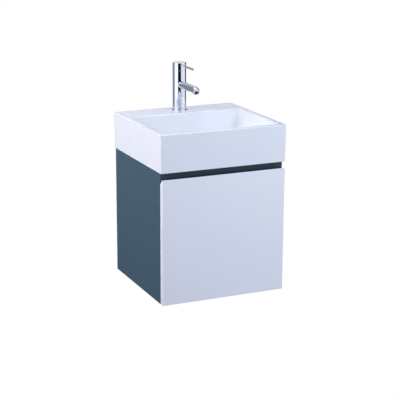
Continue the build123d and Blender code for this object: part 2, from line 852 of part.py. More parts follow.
def mixer_cap():
    """Cap flush with the body; its rear underside is cut back so that it can tilt."""
    low = tap_seam_height + seam_gap
    roof = tap_height - cap_roof
    cap = turned([(0, roof), (cap_cavity_radius, roof), (cap_cavity_radius, low), (tap_radius, low),
                  (tap_radius, tap_height - tap_edge), (tap_radius - tap_edge, tap_height), (0, tap_height)])
    rise = hall * tan(radians(lift_angle + lift_relief))
    wedge = profile_x([(pivot_behind_axis, low), (pivot_behind_axis + hall, low + rise),
                       (pivot_behind_axis + hall, low - hall), (pivot_behind_axis, low - hall)], -hall, hall)
    return cap - wedge - rocker() - mixer_lever()


def mixer_lever():
    """Pin lever: threaded root in the cap, collar seated on a flat spot, straight pin with a domed tip."""
    level = tap_height - lever_below_top
    dome = lever_radius * 0.35
    seat = sqrt(tap_radius ** 2 - lever_collar_radius ** 2)
    collar = tap_radius + lever_collar_length
    reach = tap_radius + lever_reach
    root = seat - lever_root_length
    body = Polyline((0, root), (lever_root_radius, root), (lever_root_radius, seat), (lever_collar_radius, seat),
                    (lever_collar_radius, collar - lever_collar_bevel), (lever_collar_radius - lever_collar_bevel, collar),
                    (lever_radius, collar), (lever_radius, reach - dome))
    tip = crown(lever_radius, reach - dome, dome)
    pin = turned_edges([*body.edges(), tip, Line((0, reach), (0, root))])
    return Pos(0, 0, level) * Rot(90, 0, 0) * pin


def clamp_plate(low, high):
    """Horseshoe washer under the deck, open round the stud."""
    plate = rod(clamp_radius, (0, 0, low), (0, 0, high))
    x, y = stud_point
    passage = block((-clamp_slot, clamp_slot), (-2, clamp_radius + 1), (low - 1, high + 1))
    return plate - passage - rod(stud_radius + 0.2, (x, y, low - 1), (x, y, high + 1))


def tap_clamp():
    """Stud, rubber and steel horseshoe washers and the nut that hold the tap down."""
    x, y = stud_point
    deck = -(ceramic_wall + 2)
    rubber = deck - clamp_rubber
    steel = rubber - clamp_steel
    stud_top = base_ring_height + stud_socket
    stud = rod(stud_radius, (x, y, stud_top), (x, y, stud_top - stud_length))
    nut = Pos(x, y, 0) * hexagon_nut(stud_radius * 1.9, stud_radius, steel - clamp_nut_height, steel)
    return {"tap_stud": stud, "tap_clamp_rubber": clamp_plate(rubber, deck),
            "tap_clamp_washer": clamp_plate(steel, rubber), "tap_clamp_nut": nut}


def tap():
    """Every piece of the mixer, set on the deck."""
    ring, insert = aerator()
    nodes = {"tap_base_ring": base_ring(), "tap_base_seal": base_seal(), "tap_body": tap_body(),
             "tap_spout": spout(), "tap_aerator_ring": ring, "tap_aerator_insert": insert,
             "tap_cartridge": cartridge(), "tap_cartridge_nut": cartridge_nut(), "mixer_turret": turret(),
             "mixer_rocker": rocker(), "mixer_cap": mixer_cap(), "mixer_lever": mixer_lever(), **tap_clamp()}
    return {name: on_deck(shape) for name, shape in nodes.items()}


# Waste and trap, built about the waste's own axis

def under_waste(shape):
    """Set a piece on the waste's axis; its heights are already in the unit's frame."""
    return Pos(0, -waste_from_wall, 0) * shape


flange_base = waste_seat - waste_flange_thickness
waste_bottom = flange_base - waste_length
waste_boss = carcass_top + 2
neck_top = waste_bottom - trap_drop
body_top = neck_top - trap_neck_height
body_bottom = body_top - trap_body_height
outlet_level = body_top - outlet_below_neck
tube_inner = trap_tube_radius - trap_tube_wall


def waste_body():
    """Flanged waste with a threaded tail and a spider that guides the plug's stem."""
    lead = 1.0
    body = turned([(waste_bore_radius, waste_bottom), (waste_thread_radius - lead, waste_bottom),
                   (waste_thread_radius, waste_bottom + lead), (waste_thread_radius, flange_base),
                   (waste_flange_radius, flange_base), (waste_flange_radius - 1, waste_seat),
                   (waste_bore_radius + 3, waste_seat), (waste_bore_radius, flange_base - 2)])
    high = waste_seat - plug_stem_length + spider_height
    low = high - spider_height
    hub = rod(plug_stem_radius + 2.5, (0, 0, low), (0, 0, high))
    for turn in range(3):
        arm = block((0, waste_bore_radius + 1), (-spider_arm / 2, spider_arm / 2), (low, high))
        hub = hub + Rot(0, 0, 120 * turn) * arm
    return body + hub - rod(plug_stem_radius + 0.05, (0, 0, low - 1), (0, 0, high + 1))


def waste_plug():
    """Click-clack plug: crowned cap on the flange and a stem through the spider."""
    top = waste_seat + plug_thickness
    foot = waste_seat - plug_stem_length - stem_past_spider
    rim = Polyline((plug_radius - 1, top), (plug_radius, top - 1), (plug_radius, waste_seat),
                   (plug_stem_radius, waste_seat), (plug_stem_radius, foot), (0, foot), (0, top + plug_crown))
    return turned_edges([crown(plug_radius - 1, top, plug_crown), *rim.edges()])


def union_nut(thread, hole, low, high, lip_low=True):
    """Ribbed union nut: threaded bore on one side and a lip that grips a flange on the other."""
    flat = union_lip
    inner = [(hole, low), (union_nut_radius, low), (union_nut_radius, high), (thread, high),
             (thread, low + flat), (hole, low + flat)]
    nut = turned(inner)
    ribs = 8
    for turn in range(ribs):
        groove = rod(2.2, (union_nut_radius + 1, 0, low - 1), (union_nut_radius + 1, 0, high + 1))
        nut = nut - Rot(0, 0, 360 * turn / ribs) * groove
    return nut if lip_low else Pos(0, 0, low + high) * Rot(180, 0, 0) * nut


def trap_inlet():
    """Flanged tube from the waste down into the trap."""
    flange_top = waste_bottom - seal_thickness
    bottom = body_bottom - trap_cup_height * 0.35
    flange_base = flange_top - inlet_flange_thickness
    rim = waste_thread_radius - inlet_flange_play
    return turned([(tube_inner, bottom), (trap_tube_radius, bottom), (trap_tube_radius, flange_base),
                   (rim, flange_base), (rim, flange_top), (tube_inner, flange_top)])


def seal(outer, high):
    """Flat rubber ring round the tube, top face at the given height."""
    return tube(outer, tube_inner, high - seal_thickness, high)


def trap_body():
    """Upper half of the bottle with the neck for the inlet and the socket for the outlet."""
    inner = trap_body_radius - trap_wall
    bore = trap_tube_radius + trap_tube_play
    shell = turned([(inner, body_bottom), (trap_body_radius, body_bottom),
                    (trap_body_radius, body_top - trap_shoulder), (trap_body_radius - trap_shoulder, body_top),
                    (trap_neck_radius, body_top), (trap_neck_radius, neck_top), (bore, neck_top),
                    (bore, body_top - trap_wall), (inner - trap_shoulder, body_top - trap_wall),
                    (inner, body_top - trap_shoulder - 1)])
    reach = trap_body_radius + outlet_socket
    socket = rod(trap_neck_radius, (0, trap_body_radius - trap_socket_sunk, outlet_level), (0, reach, outlet_level))
    socket = socket - rod(inner, (0, 0, body_bottom), (0, 0, body_top))
    passage = rod(bore, (0, trap_body_radius - trap_passage_sunk, outlet_level), (0, reach + 1, outlet_level))
    return shell + socket - passage


def trap_cup():
    """Screw-off cup with a rounded foot and a grip band."""
    inner = trap_body_radius
    outer = inner + trap_wall
    top = body_bottom + trap_overlap
    bottom = body_bottom - trap_cup_height
    shell = rod(outer, (0, 0, bottom), (0, 0, top))
    shell = fillet(shell.edges().group_by(Axis.Z)[0], trap_cup_crown)
    band = rod(outer + cup_band_proud, (0, 0, body_bottom), (0, 0, top))
    band = chamfer(band.edges().filter_by(GeomType.CIRCLE), cup_band_bevel)
    hollow = rod(inner - trap_wall, (0, 0, bottom + trap_wall), (0, 0, top))
    hollow = fillet(hollow.edges().group_by(Axis.Z)[0], trap_cup_crown - 2 * trap_wall)
    return shell + band - hollow - rod(inner, (0, 0, body_bottom), (0, 0, top))


def outlet_pieces():
    """Nut, seal, tube and escutcheon on the way to the wall, built about Z from the trap's axis."""
    reach = trap_body_radius + outlet_socket
    end = waste_from_wall + outlet_past_wall
    pipe = tube(trap_tube_radius, tube_inner, trap_body_radius - 6, end)
    ring = tube(trap_neck_radius - 1, trap_tube_radius, reach, reach + seal_thickness)
    nut = union_nut(trap_neck_radius, trap_tube_radius + 0.3, reach + seal_thickness - 12,
                    reach + seal_thickness + union_lip, lip_low=False)
    wall = waste_from_wall
    rose = turned([(trap_tube_radius + 0.2, wall - escutcheon_height), (trap_tube_radius + 4, wall - escutcheon_height),
                   (escutcheon_radius - 6, wall - escutcheon_height * 0.55), (escutcheon_radius, wall),
                   (escutcheon_radius - escutcheon_wall * 1.5, wall),
                   (escutcheon_radius - 7, wall - escutcheon_height * 0.55 + escutcheon_wall),
                   (trap_tube_radius + 4, wall - escutcheon_height + escutcheon_wall),
                   (trap_tube_radius + 0.2, wall - escutcheon_height + escutcheon_wall)])
    return [along_y(shape, 0, -waste_from_wall, outlet_level) for shape in (pipe, ring, nut, rose)]


def waste_and_trap():
    """Every piece from the waste's flange to the wall."""
    pipe, ring, outlet_nut, rose = outlet_pieces()
    washer = tube(waste_nut_radius, waste_thread_radius, waste_boss - waste_washer_thickness, waste_boss)
    nut_top = waste_boss - waste_washer_thickness
    back_nut = hexagon_nut(waste_nut_radius - 2, waste_thread_radius, nut_top - waste_nut_height, nut_top)
    top_nut_low = waste_bottom - seal_thickness - 2 - union_lip
    top_nut = union_nut(waste_thread_radius, trap_tube_radius, top_nut_low, top_nut_low + union_nut_height)
    neck_nut = union_nut(trap_neck_radius, trap_tube_radius, neck_top + seal_thickness - 12,
                         neck_top + seal_thickness + union_lip, lip_low=False)
    neck_seal = tube(trap_neck_radius - 1, trap_tube_radius, neck_top, neck_top + seal_thickness)
    return {
        "waste_body": under_waste(waste_body()),
        "waste_plug": under_waste(waste_plug()),
        "waste_washer": under_waste(washer),
        "waste_back_nut": under_waste(back_nut),
        "trap_inlet_tube": under_waste(trap_inlet()),
        "trap_body": under_waste(trap_body()),
        "trap_cup": under_waste(trap_cup()),
        "trap_nuts": [under_waste(top_nut), under_waste(neck_nut), outlet_nut],
        "trap_seals": [under_waste(seal(waste_thread_radius - inlet_flange_play, waste_bottom)), under_waste(neck_seal), ring],
        "trap_outlet_tube": pipe,
        "wall_escutcheon": rose,
    }


# Drawer

def drawer_front():
    """Full-height front; the back of its top edge is bevelled as a finger pull."""
    top = carcass_base + front_height
    outline = [(front_face, carcass_base), (front_back, carcass_base), (front_back, top - finger_bevel),
               (front_back - finger_bevel, top), (front_face, top)]
    half = carcass_width / 2
    panel = profile_x(outline, -half, half)
    edges = [edge for edge in panel.edges() if abs(edge.center().Y - front_face) < 0.01]
    panel = fillet(edges, front_edge_radius)
    return without(panel, drawer_front_screws())


def drawer_box():
    """Boards of the drawer box, open at the back round the trap."""
    groove_low = drawer_base + bottom_above_edge
    groove = block((-(drawer_inner + groove_depth), drawer_inner + groove_depth),
                   (front_back + drawer_board - groove_depth, drawer_rear), (groove_low, drawer_floor))
    well_half = well_width / 2
    side = block((drawer_inner, drawer_outer), (front_back, drawer_rear), (drawer_base, drawer_top))
    side = without(side - groove, drawer_runner_screws())
    box_front = block((-drawer_inner, drawer_inner), (front_back, front_back + drawer_board),
                      (drawer_base, drawer_top))
    bottom = groove - block((-well_half, well_half), (well_front, drawer_rear + 1), (-hall, hall))
    back = block((well_half + well_board, drawer_inner), (drawer_rear - drawer_board, drawer_rear),
                 (drawer_floor, drawer_top))
    cheek = block((well_half, well_half + well_board), (well_front, drawer_rear), (drawer_floor, drawer_top))
    cheek_end = block((-(well_half + well_board), well_half + well_board), (well_front - well_board, well_front),
                      (drawer_floor, drawer_top))
    return {
        "drawer_side_right": side,
        "drawer_side_left": mirror(side, about=Plane.YZ),
        "drawer_box_front": without(box_front - groove, drawer_front_screws()),
        "drawer_bottom": bottom,
        "drawer_backs": both_sides(back),
        "trap_well_sides": both_sides(cheek),
        "trap_well_front": cheek_end,
    }


# Runners. A cross-section is drawn with depth from the side panel along X and height along Y; the
# ball races are rolled into the steel, so each is part of a ring about its ball row.

outer_row = (outer_ball_in, runner_height / 2 - runner_steel - race_clearance - ball_radius)
race = ball_radius + race_clearance
race_pitch = 2 * race + runner_steel
row_drop = sqrt(race_pitch ** 2 - row_offset ** 2)
inner_row = (outer_ball_in + row_offset, outer_row[1] - row_drop)
lean = degrees(atan2(row_drop, row_offset))
lip_angle = 25.0


def rolled_race(centre, start, end):
    """Sheet steel curved round a ball row between two angles."""
    inner = CenterArc(centre, race, start, end - start)
    outer = CenterArc(centre, race + runner_steel, start, end - start)
    edges = [inner, outer, Line(inner @ 0, outer @ 0), Line(inner @ 1, outer @ 1)]
    return make_face(edges)


def upright(low, high, reach):
    """Web of a member: sheet between two depths, reaching as far up as down."""
    return Pos((low + high) / 2, 0) * Rectangle(high - low, 2 * reach)


def strip(low, high, level, thickness):
    """Flat sheet in a cross-section."""
    return Pos((low + high) / 2, level) * Rectangle(high - low, thickness)


def mirrored(upper):
    """Upper race and its mirror image."""
    return upper + mirror(upper, about=Plane.XZ)


def member(section, length, y):
    """Extrude a cross-section along the drawer's travel, on the right-hand side."""
    place = Plane(origin=(carcass_inner, y, runner_level), x_dir=(-1, 0, 0), z_dir=(0, 1, 0))
    return extrude(place * section, amount=length)


def cabinet_member():
    """Outer member, screwed to the side panel, with its races over the outer balls."""
    top = runner_height / 2
    flange = strip(0, outer_row[0], top - runner_steel / 2, runner_steel)
    section = upright(0, runner_steel, top) + mirrored(flange + rolled_race(outer_row, lip_angle, 180 - lip_angle))
    return without(member(section, runner_length, runner_front), cabinet_runner_screws())


def middle_member():
    """Intermediate member: an S-shaped flange that runs on the outer balls and over the inner ones."""
    web_middle = middle_web_in + runner_steel / 2
    sheet_middle = race + runner_steel / 2
    start = 180 + degrees(atan2(sqrt(sheet_middle ** 2 - (outer_row[0] - web_middle) ** 2),
                                outer_row[0] - web_middle))
    reach = outer_row[1] + sheet_middle * sin(radians(start))
    under_outer = rolled_race(outer_row, start - 2, 360 - lean)
    over_inner = rolled_race(inner_row, lip_angle, 180 - lean)
    section = upright(middle_web_in, middle_web_in + runner_steel, reach) + mirrored(under_outer + over_inner)
    return member(section, runner_length, runner_front)


def drawer_member():
    """Inner member, screwed to the drawer side, with its races under the inner balls."""
    low = inner_row[1] - race - runner_steel
    flange = strip(inner_row[0], runner_depth, low + runner_steel / 2, runner_steel)
    web = upright(runner_depth - runner_steel, runner_depth, low + runner_steel)
    section = web + mirrored(flange + rolled_race(inner_row, 180 + lip_angle, 360 - lip_angle))
    return without(member(section, runner_length, runner_front), drawer_runner_screws())


def ball_cage(row, web_low):
    """Pressed cage between two members, with pockets that carry the balls, and the balls."""
    depth, level = row
    arm = depth + ball_radius + 0.7
    web = upright(web_low, web_low + cage_sheet, level)
    arms = mirrored(strip(web_low, arm, level, cage_strip))
    start = runner_front + cage_inset
    cage = member(web + arms, cage_length, start)
    pitch = cage_length / balls_in_row
    balls = []
    for index in range(balls_in_row):
        y = start + pitch * (index + 0.5)
        for way in (-1, 1):
            x = carcass_inner - depth
            z = runner_level + way * level
            pocket = ball_radius + ball_pocket
            cage = cage - rod(pocket, (x, y, z - cage_strip), (x, y, z + cage_strip))
            balls.append(Pos(x, y, z) * Sphere(ball_radius))
    return [cage, *balls]


def runners():
    """Both telescopic runners with their cages."""
    nodes = {"runner_cabinet_members": both_sides(cabinet_member()),
             "runner_drawer_members": both_sides(drawer_member())}
    middle = middle_member()
    outer = ball_cage(outer_row, runner_steel + cage_gap)
    inner = ball_cage(inner_row, middle_web_in + runner_steel + cage_sheet)
    for side, turn in (("right", False), ("left", True)):
        pieces = {"runner_middle": [middle], "outer_ball_cage": outer, "inner_ball_cage": inner}
        for name, shapes in pieces.items():
            nodes[name + "_" + side] = [mirror(s, about=Plane.YZ) for s in shapes] if turn else shapes
    return nodes


def drawer_fasteners():
    """Screws that ride with the drawer."""
    runner_screws = [side for screw in drawer_runner_screws() for side in both_sides(screw)]
    return {"drawer_screws": runner_screws + drawer_front_screws()}


def build():
    """Every node of the unit by name."""
    return {**cabinet(), **cabinet_fittings(), "basin": basin(), **tap(), **waste_and_trap(),
            "drawer_front": drawer_front(), **drawer_box(), **drawer_fasteners(), **runners()}


os.makedirs("parts", exist_ok=True)
for node, shape in build().items():
    solids = [solid for piece in (shape if isinstance(shape, list) else [shape]) for solid in piece.solids()]
    result = solids[0] if len(solids) == 1 else Compound(children=solids)
    export_step(result, "parts/" + node + ".step")
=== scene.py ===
import json
import math

import bpy
from mathutils import Matrix, Vector


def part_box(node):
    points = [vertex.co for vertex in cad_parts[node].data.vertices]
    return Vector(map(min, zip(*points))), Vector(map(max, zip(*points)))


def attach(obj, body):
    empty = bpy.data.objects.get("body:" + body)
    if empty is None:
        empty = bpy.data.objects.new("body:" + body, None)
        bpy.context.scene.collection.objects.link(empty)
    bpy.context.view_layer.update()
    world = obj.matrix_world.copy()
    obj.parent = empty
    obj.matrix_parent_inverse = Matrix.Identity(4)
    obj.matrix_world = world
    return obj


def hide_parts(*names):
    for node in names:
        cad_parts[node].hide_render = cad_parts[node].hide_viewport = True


# Wall-hung vanity unit: finishes, small details, floor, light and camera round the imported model.
# Metres. X to the right, Y towards the wall, Z up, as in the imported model.

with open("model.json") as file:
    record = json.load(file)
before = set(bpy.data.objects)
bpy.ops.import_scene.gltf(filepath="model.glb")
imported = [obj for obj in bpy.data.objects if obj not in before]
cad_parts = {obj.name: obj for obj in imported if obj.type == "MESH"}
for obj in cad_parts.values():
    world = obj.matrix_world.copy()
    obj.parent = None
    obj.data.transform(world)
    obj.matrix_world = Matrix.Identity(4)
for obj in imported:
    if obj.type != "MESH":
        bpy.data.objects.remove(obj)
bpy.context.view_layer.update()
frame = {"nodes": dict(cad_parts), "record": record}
nodes = frame["nodes"]
record = frame["record"]


# Shader helpers. Every finish is worked out from object coordinates, so it stays on a piece that moves.

def start_material(name):
    """New material with its node tree and its main shader."""
    material = bpy.data.materials.new(name)
    material.use_nodes = True
    tree = material.node_tree
    return material, tree, tree.nodes["Principled BSDF"]


def new_node(tree, kind, **sockets):
    """Node with some of its inputs set; underscores in a name stand for spaces."""
    node = tree.nodes.new(kind)
    for name, value in sockets.items():
        node.inputs[name.replace("_", " ")].default_value = value
    return node


def place(tree, stretch=(1, 1, 1)):
    """Object coordinates, scaled along each axis."""
    source = tree.nodes.new("ShaderNodeTexCoord")
    mapping = new_node(tree, "ShaderNodeMapping", Scale=stretch)
    tree.links.new(source.outputs["Object"], mapping.inputs["Vector"])
    return mapping.outputs["Vector"]


def noise(tree, vector, scale, detail=3.0, rough=0.5):
    """Soft noise with a number of features to the metre."""
    node = new_node(tree, "ShaderNodeTexNoise", Scale=scale, Detail=detail, Roughness=rough)
    tree.links.new(vector, node.inputs["Vector"])
    return node.outputs["Fac"]


def spread(tree, factor, low, high, start=0.3, end=0.7):
    """Number between two values, following a factor."""
    node = new_node(tree, "ShaderNodeMapRange", From_Min=start, From_Max=end, To_Min=low, To_Max=high)
    tree.links.new(factor, node.inputs["Value"])
    return node.outputs["Result"]


def mixed(tree, factor, first, second):
    """Colour between two colours or colour sockets, following a factor."""
    node = tree.nodes.new("ShaderNodeMix")
    node.data_type = "RGBA"
    tree.links.new(factor, node.inputs["Factor"])
    for colour, socket in ((first, node.inputs[6]), (second, node.inputs[7])):
        if isinstance(colour, bpy.types.NodeSocket):
            tree.links.new(colour, socket)
        else:
            socket.default_value = (*colour, 1.0)
    return node.outputs[2]


def bump(tree, shader, height, depth, strength=1.0):
    """Relief of a real depth in metres on the shader's normal."""
    node = new_node(tree, "ShaderNodeBump", Strength=strength, Distance=depth)
    tree.links.new(height, node.inputs["Height"])
    tree.links.new(node.outputs["Normal"], shader.inputs["Normal"])


def shade(colour, share):
    """The same colour, lighter or darker by a share."""
    return tuple(min(1.0, channel * (1 + share)) for channel in colour)


# Finishes

# Painted shade in narrow gaps: how far a surface looks for its neighbour, how much it darkens, and over what
# openness.
painted_shade_reach = 0.05
painted_shade_share = 0.75
painted_shade_shut = 0.25
painted_shade_open = 0.85


def glaze(name, colour):
    """Fired white glaze: cloudy by a hair, wet gloss, long low waves in the surface."""
    material, tree, shader = start_material(name)
    cloud = noise(tree, place(tree), scale=9, detail=4)
    tree.links.new(mixed(tree, spread(tree, cloud, 0, 1), shade(colour, -0.012), shade(colour, 0.012)),
                   shader.inputs["Base Color"])
    tree.links.new(spread(tree, noise(tree, place(tree), scale=60), 0.10, 0.15), shader.inputs["Roughness"])
    shader.inputs["IOR"].default_value = 1.5
    shader.inputs["Coat Weight"].default_value = 0.6
    shader.inputs["Coat Roughness"].default_value = 0.03
    bump(tree, shader, noise(tree, place(tree), scale=45, detail=2), depth=0.00012, strength=0.5)
    return material


def painted_crevice_shade(tree, tone, colour):
    """Tone with painted shade: it darkens in a narrow gap beside another surface."""
    corner = new_node(tree, "ShaderNodeAmbientOcclusion", Distance=painted_shade_reach)
    openness = spread(tree, corner.outputs["AO"], 0, 1, painted_shade_shut, painted_shade_open)
    return mixed(tree, openness, shade(colour, -painted_shade_share), tone)


def laminate(name, colour, gloss=0.42, grain=0.035):
    """Satin laminate: fine upright grain in colour, gloss and relief, with painted shade in narrow gaps."""
    material, tree, shader = start_material(name)
    along = place(tree, (1, 1, 0.06))
    streaks = noise(tree, along, scale=420, detail=5, rough=0.6)
    patches = noise(tree, place(tree), scale=6, detail=2)
    light = mixed(tree, spread(tree, streaks, 0, 1), shade(colour, -grain), shade(colour, grain))
    tone = mixed(tree, spread(tree, patches, 0, 0.5), light, shade(colour, -grain))
    # Painted shade: the base colour darkens in narrow gaps beside other surfaces.
    tree.links.new(painted_crevice_shade(tree, tone, colour), shader.inputs["Base Color"])
    tree.links.new(spread(tree, streaks, gloss - 0.05, gloss + 0.05), shader.inputs["Roughness"])
    shader.inputs["Specular IOR Level"].default_value = 0.45
    bump(tree, shader, streaks, depth=0.00005, strength=0.35)
    return material


def lacquer(name, colour):
    """High-gloss lacquer: flat colour coat under a clear coat with a faint orange peel."""
    material, tree, shader = start_material(name)
    cloud = noise(tree, place(tree), scale=5, detail=3)
    tree.links.new(mixed(tree, spread(tree, cloud, 0, 1), shade(colour, -0.008), shade(colour, 0.008)),
                   shader.inputs["Base Color"])
    tree.links.new(spread(tree, noise(tree, place(tree), scale=30), 0.16, 0.22), shader.inputs["Roughness"])
    shader.inputs["Coat Weight"].default_value = 0.8
    shader.inputs["Coat Roughness"].default_value = 0.04
    bump(tree, shader, noise(tree, place(tree), scale=260, detail=2), depth=0.00002, strength=0.25)
    return material


def melamine(name, colour):
    """Light melamine of a drawer box: pearl finish with fine flecks."""
    material, tree, shader = start_material(name)
    fleck = noise(tree, place(tree), scale=1400, detail=3, rough=0.7)
    cloud = noise(tree, place(tree), scale=12, detail=2)
    base = mixed(tree, spread(tree, cloud, 0, 1), shade(colour, -0.015), shade(colour, 0.015))
    tree.links.new(mixed(tree, spread(tree, fleck, 0, 0.35, 0.45, 0.75), base, shade(colour, -0.12)),
                   shader.inputs["Base Color"])
    tree.links.new(spread(tree, fleck, 0.42, 0.52), shader.inputs["Roughness"])
    bump(tree, shader, fleck, depth=0.00004, strength=0.3)
    return material


def polished(name, colour, low=0.035, high=0.075):
    """Polished plate: mirror with a faint haze that varies."""
    material, tree, shader = start_material(name)
    haze = noise(tree, place(tree), scale=35, detail=4)
    tree.links.new(mixed(tree, spread(tree, haze, 0, 1), shade(colour, -0.02), shade(colour, 0.02)),
                   shader.inputs["Base Color"])
    shader.inputs["Metallic"].default_value = 1.0
    tree.links.new(spread(tree, haze, low, high), shader.inputs["Roughness"])
    bump(tree, shader, noise(tree, place(tree), scale=70, detail=2), depth=0.00001, strength=0.3)
    return material


def machined(name, colour, rough=0.28, stretch=(1, 1, 14), scale=320):
    """Turned or rolled metal: fine lines in one direction, uneven gloss."""
    material, tree, shader = start_material(name)
    lines = noise(tree, place(tree, stretch), scale=scale, detail=4, rough=0.65)
    stain = noise(tree, place(tree), scale=40, detail=3)
    base = mixed(tree, spread(tree, lines, 0, 1), shade(colour, -0.10), shade(colour, 0.08))
    tree.links.new(mixed(tree, spread(tree, stain, 0, 0.4), base, shade(colour, -0.22)),
                   shader.inputs["Base Color"])
    shader.inputs["Metallic"].default_value = 1.0
    tree.links.new(spread(tree, lines, rough - 0.07, rough + 0.10), shader.inputs["Roughness"])
    bump(tree, shader, lines, depth=0.00004, strength=0.4)
    return material


def moulded(name, colour, rough=0.45):
    """Moulded plastic with a spark-eroded skin."""
    material, tree, shader = start_material(name)
    grain = noise(tree, place(tree), scale=1800, detail=2)
    flow = noise(tree, place(tree), scale=25, detail=3)
    tree.links.new(mixed(tree, spread(tree, flow, 0, 1), shade(colour, -0.04), shade(colour, 0.04)),
                   shader.inputs["Base Color"])
    tree.links.new(spread(tree, grain, rough - 0.05, rough + 0.08), shader.inputs["Roughness"])
    bump(tree, shader, grain, depth=0.00004, strength=0.4)
    return material


def rubber(name, colour):
    """Matt rubber with a bloom of dust."""
    material, tree, shader = start_material(name)
    bloom = noise(tree, place(tree), scale=160, detail=4)
    tree.links.new(mixed(tree, spread(tree, bloom, 0, 1), colour, shade(colour, 0.5)),
                   shader.inputs["Base Color"])
    tree.links.new(spread(tree, bloom, 0.65, 0.85), shader.inputs["Roughness"])
    bump(tree, shader, noise(tree, place(tree), scale=1500, detail=2), depth=0.00006, strength=0.5)
    return material


def clear_rubber(name, colour):
    """Translucent soft bumper."""
    material, tree, shader = start_material(name)
    cloud = noise(tree, place(tree), scale=220, detail=2)
    tree.links.new(mixed(tree, spread(tree, cloud, 0, 1), shade(colour, -0.05), shade(colour, 0.05)),
                   shader.inputs["Base Color"])
    shader.inputs["Transmission Weight"].default_value = 0.6
    shader.inputs["IOR"].default_value = 1.42
    tree.links.new(spread(tree, cloud, 0.25, 0.35), shader.inputs["Roughness"])
    bump(tree, shader, cloud, depth=0.00003, strength=0.3)
    return material


def beech(name, colour):
    """Beech dowel: long grain with short dark flecks."""
    material, tree, shader = start_material(name)
    grain = noise(tree, place(tree, (0.12, 1, 1)), scale=900, detail=4, rough=0.6)
    fleck = noise(tree, place(tree, (0.3, 1, 1)), scale=2600, detail=2)
    base = mixed(tree, spread(tree, grain, 0, 1), shade(colour, -0.14), shade(colour, 0.10))
    tree.links.new(mixed(tree, spread(tree, fleck, 0, 0.7, 0.62, 0.75), base, shade(colour, -0.5)),
                   shader.inputs["Base Color"])
    tree.links.new(spread(tree, grain, 0.55, 0.7), shader.inputs["Roughness"])
    bump(tree, shader, grain, depth=0.0001, strength=0.5)
    return material


finishes = {
    "white_ceramic": glaze("white_ceramic", (0.83, 0.86, 0.92)),
    "slate_board": laminate("slate_board", (0.038, 0.083, 0.120)),
    "gloss_front": lacquer("gloss_front", (0.86, 0.88, 0.94)),
    "drawer_board": melamine("drawer_board", (0.70, 0.71, 0.72)),
    "chrome": polished("chrome", (0.86, 0.88, 0.92)),
    "brass": machined("brass", (0.72, 0.53, 0.24)),
    "zinc_steel": machined("zinc_steel", (0.62, 0.65, 0.68), 0.30, (1, 0.05, 1), 500),
    "black_rubber": rubber("black_rubber", (0.018, 0.018, 0.019)),
    "white_plastic": moulded("white_plastic", (0.80, 0.81, 0.82)),
    "grey_plastic": moulded("grey_plastic", (0.05, 0.053, 0.056)),
    "clear_bumper": clear_rubber("clear_bumper", (0.78, 0.79, 0.80)),
    "beech": beech("beech", (0.62, 0.42, 0.24)),
}

slot_of = {subpart["node"]: subpart["material_slot"] for subpart in record["subparts"]}
for node_name, slot_name in slot_of.items():
    packed = nodes[node_name]
    packed.data.materials.clear()
    packed.data.materials.append(finishes[slot_name])


# Mesh helpers for the small details

def add_piece(name, verts, faces, slot, body="root", smooth=True):
    """New piece that rides on a body and takes a slot's finish."""
    mesh = bpy.data.meshes.new(name)
    mesh.from_pydata([tuple(v) for v in verts], [], faces)
    mesh.validate()
    mesh.update()
    piece = bpy.data.objects.new(name, mesh)
    bpy.context.scene.collection.objects.link(piece)
    mesh.materials.append(finishes[slot])
    for polygon in mesh.polygons:
        polygon.use_smooth = smooth
    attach(piece, body)
    return piece


def ribbon_screw(middle, radius, low, high, pitch, depth):
    """Points and faces of one helical thread ridge, pointed, round an upright axis."""
    verts = []
    faces = []
    steps = int((high - low) / pitch * thread_steps)
    crest = thread_crest / 2
    for step in range(steps + 1):
        turn = 2 * math.pi * step / thread_steps
        level = low + pitch * step / thread_steps
        fade = min(1.0, step / thread_fade, (steps - step) / thread_fade)
        for out, up in ((-depth, -0.5), (depth * fade, -crest), (depth * fade, crest), (-depth, 0.5)):
            x = middle[0] + (radius + out) * math.cos(turn)
            y = middle[1] + (radius + out) * math.sin(turn)
            verts.append((x, y, level + up * pitch))
    for step in range(steps):
        for side in range(4):
            first, second = 4 * step + side, 4 * step + (side + 1) % 4
            faces.append((first, second, second + 4, first + 4))
    faces.append((3, 2, 1, 0))
    last = 4 * steps
    faces.append((last, last + 1, last + 2, last + 3))
    return verts, faces


def spun(profile, sides):
    """Points and faces of a closed outline turned round Z, as (radius, height) pairs off the axis."""
    verts = []
    faces = []
    count = len(profile)
    for side in range(sides):
        turn = 2 * math.pi * side / sides
        verts += [(radius * math.cos(turn), radius * math.sin(turn), height) for radius, height in profile]
    for side in range(sides):
        here, there = side * count, (side + 1) % sides * count
        for index in range(count):
            after = (index + 1) % count
            faces.append((here + index, here + after, there + after, there + index))
    return verts, faces


def slab(low, high):
    """Points and faces of a block between two corners."""
    verts = [(x, y, z) for z in (low[2], high[2]) for y in (low[1], high[1]) for x in (low[0], high[0])]
    return verts, [(0, 2, 3, 1), (4, 5, 7, 6), (0, 1, 5, 4), (2, 6, 7, 3), (0, 4, 6, 2), (1, 3, 7, 5)]


def joined(shapes):
    """One list of points and one of faces from several shapes."""
    verts = []
    faces = []
    for points, sides in shapes:
        start = len(verts)
        verts += points
        faces += [tuple(start + index for index in face) for face in sides]
    return verts, faces


def turned_shape(shape, matrix):
    """The same shape moved by a matrix."""
    points, faces = shape
    return [tuple(matrix @ Vector(point)) for point in points], faces


def centre(low, high):
    """Middle of a box."""
    return tuple((a + b) / 2 for a, b in zip(low, high))


# Aerator insert: heights along the water from the mouth, rings as pairs of radii
mouth_tilt = 37.0
insert_radius = 0.0081
insert_front = 0.0018
insert_back = -0.006
axis_radius = 0.0001
screen_rings = ((axis_radius, 0.0013), (0.0031, 0.0035), (0.0054, 0.0058), (0.0075, insert_radius))
screen_depth = 0.0042
screen_gap = 0.0002
screen_sides = 64
vane_count = 12
vane_half = 0.00022
vane_from = 0.0011
vane_to = 0.0077

